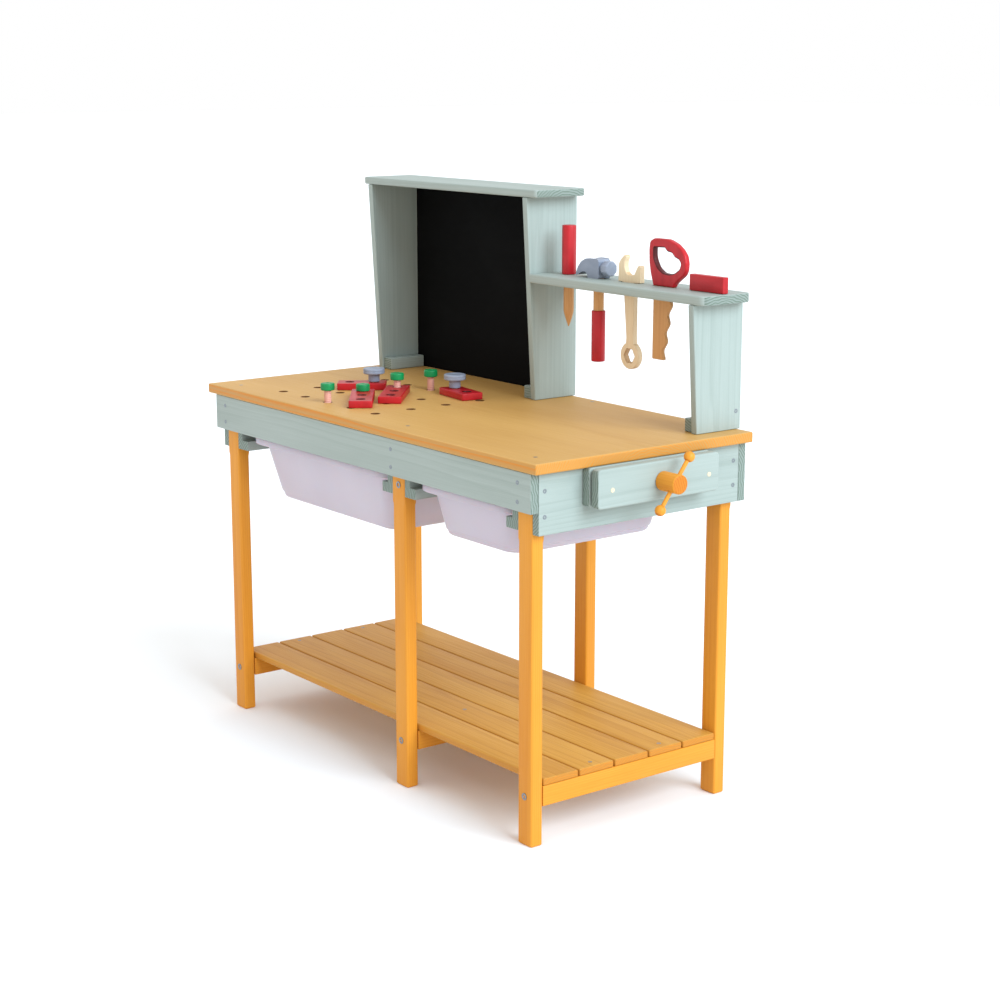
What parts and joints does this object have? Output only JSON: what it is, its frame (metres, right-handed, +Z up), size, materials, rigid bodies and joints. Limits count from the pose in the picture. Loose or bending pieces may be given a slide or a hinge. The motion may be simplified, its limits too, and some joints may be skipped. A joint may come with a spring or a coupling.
{
  "type": "toy workbench",
  "caption": "Toy workbench in honey and pale teal wood, with a chalkboard, a tool shelf, two slide-out tubs, a play vice and loose wooden tools and bolts.",
  "frame": {"origin": "middle of the toy's footprint, on the floor", "axes": "+X along the worktop towards the vice, +Y from the front to the chalkboard, +Z up"},
  "size_m": [1.0128, 0.4386, 0.959],
  "materials": {
    "stained_pine": "semi-transparent honey stain on pine, satin",
    "teal_paint": "thin pale teal paint on pine, the grain showing through, satin",
    "tub_plastic": "milky, slightly lilac, translucent polypropylene, semi-matt",
    "chalkboard": "matt black chalkboard lacquer on hardboard",
    "red_paint": "opaque red lacquer on wood, satin",
    "green_paint": "opaque green lacquer on wood, satin",
    "grey_paint": "opaque grey lacquer on wood, satin",
    "beech": "bare beech or plywood, sanded",
    "pale_beech": "pale bare plywood, sanded",
    "hardware": "zinc-plated screw and bolt heads"
  },
  "bodies": {
    "root": {"worktop": "stained_pine", "front_apron": "teal_paint", "rear_apron": "teal_paint", "left_end_board": "teal_paint", "right_end_board": "teal_paint", "leg_front_left": "stained_pine", "leg_front_middle": "stained_pine", "leg_front_right": "stained_pine", "leg_rear_left": "stained_pine", "leg_rear_middle": "stained_pine", "leg_rear_right": "stained_pine", "shelf_slat_1": "stained_pine", "shelf_slat_2": "stained_pine", "shelf_slat_3": "stained_pine", "shelf_slat_4": "stained_pine", "shelf_slat_5": "stained_pine", "shelf_beam_left": "stained_pine", "shelf_beam_middle": "stained_pine", "shelf_beam_right": "stained_pine", "tub_rail_1": "teal_paint", "tub_rail_2": "teal_paint", "tub_rail_3": "teal_paint", "tub_rail_4": "teal_paint", "left_panel": "teal_paint", "middle_panel": "teal_paint", "short_panel": "teal_paint", "top_board": "teal_paint", "tool_shelf": "teal_paint", "chalkboard": "chalkboard", "foot_batten_left": "teal_paint", "foot_batten_middle": "teal_paint", "foot_batten_right": "teal_paint", "vice_back_jaw": "teal_paint"},
    "left_tub": {"tub_left": "tub_plastic"},
    "right_tub": {"tub_right": "tub_plastic"},
    "vice_jaw": {"vice_front_jaw": "teal_paint", "vice_guide_front": "beech", "vice_guide_rear": "beech"},
    "vice_screw": {"vice_screw": "stained_pine", "vice_tommy_bar": "stained_pine"},
    "screwdriver": {"screwdriver_handle": "red_paint", "screwdriver_blade": "beech"},
    "hammer": {"hammer_head": "grey_paint", "hammer_handle": "beech", "hammer_grip": "red_paint"},
    "wrench": {"wrench": "pale_beech"},
    "saw": {"saw_handle": "red_paint", "saw_blade": "beech"},
    "try_square": {"square_stock": "red_paint", "square_blade": "beech"},
    "strip_1": {"strip_1": "red_paint"},
    "strip_2": {"strip_2": "red_paint"},
    "strip_3": {"strip_3": "red_paint"},
    "strip_4": {"strip_4": "red_paint"},
    "bolt_green_1": {"bolt_green_1": "green_paint"},
    "bolt_green_2": {"bolt_green_2": "green_paint"},
    "bolt_green_3": {"bolt_green_3": "green_paint"},
    "bolt_green_4": {"bolt_green_4": "green_paint"},
    "bolt_grey_1": {"bolt_grey_1": "grey_paint"},
    "bolt_grey_2": {"bolt_grey_2": "grey_paint"}
  },
  "joints": [
    {"name": "left_tub_slide", "type": "slide", "parent": "root", "child": "left_tub", "axis": [0, -1, 0], "range_m": [-0.045, 0.33]},
    {"name": "right_tub_slide", "type": "slide", "parent": "root", "child": "right_tub", "axis": [0, -1, 0], "range_m": [-0.045, 0.33]},
    {"name": "vice_screw_turn", "type": "hinge", "parent": "vice_jaw", "child": "vice_screw", "pos_m": [0.4665, 0.006, 0.553], "axis": [1, 0, 0], "range_deg": [-202, 1215]},
    {"name": "vice_jaw_slide", "type": "slide", "parent": "root", "child": "vice_jaw", "axis": [1, 0, 0], "range_m": [-0.0045, 0.0271]},
    {"name": "screwdriver_lift", "type": "slide", "parent": "root", "child": "screwdriver", "axis": [0, 0, 1], "range_m": [0, 0.095]},
    {"name": "hammer_lift", "type": "slide", "parent": "root", "child": "hammer", "axis": [0, 0, 1], "range_m": [0, 0.145]},
    {"name": "wrench_lift", "type": "slide", "parent": "root", "child": "wrench", "axis": [0, 0, 1], "range_m": [0, 0.15]},
    {"name": "saw_lift", "type": "slide", "parent": "root", "child": "saw", "axis": [0, 0, 1], "range_m": [0, 0.125]},
    {"name": "try_square_lift", "type": "slide", "parent": "root", "child": "try_square", "axis": [0, 0, 1], "range_m": [0, 0.1]},
    {"name": "strip_1_lift", "type": "slide", "parent": "root", "child": "strip_1", "axis": [0, 0, 1], "range_m": [0, 0.06]},
    {"name": "strip_2_lift", "type": "slide", "parent": "root", "child": "strip_2", "axis": [0, 0, 1], "range_m": [0, 0.06]},
    {"name": "strip_3_lift", "type": "slide", "parent": "root", "child": "strip_3", "axis": [0, 0, 1], "range_m": [0, 0.06]},
    {"name": "strip_4_lift", "type": "slide", "parent": "root", "child": "strip_4", "axis": [0, 0, 1], "range_m": [0, 0.06]},
    {"name": "bolt_green_1_lift", "type": "slide", "parent": "root", "child": "bolt_green_1", "axis": [0, 0, 1], "range_m": [-0.0205, 0.03]},
    {"name": "bolt_green_2_lift", "type": "slide", "parent": "strip_2", "child": "bolt_green_2", "axis": [0, 0, 1], "range_m": [0, 0.05]},
    {"name": "bolt_green_3_lift", "type": "slide", "parent": "strip_3", "child": "bolt_green_3", "axis": [0, 0, 1], "range_m": [-0.012, 0.04]},
    {"name": "bolt_green_4_lift", "type": "slide", "parent": "root", "child": "bolt_green_4", "axis": [0, 0, 1], "range_m": [-0.0235, 0.03]},
    {"name": "bolt_grey_1_lift", "type": "slide", "parent": "strip_1", "child": "bolt_grey_1", "axis": [0, 0, 1], "range_m": [0, 0.04]},
    {"name": "bolt_grey_2_lift", "type": "slide", "parent": "strip_4", "child": "bolt_grey_2", "axis": [0, 0, 1], "range_m": [0, 0.04]}
  ],
  "couplings": [
    {"joint": "vice_jaw_slide", "follows": "vice_screw_turn", "m_per_rad": 0.0012732}
  ]
}
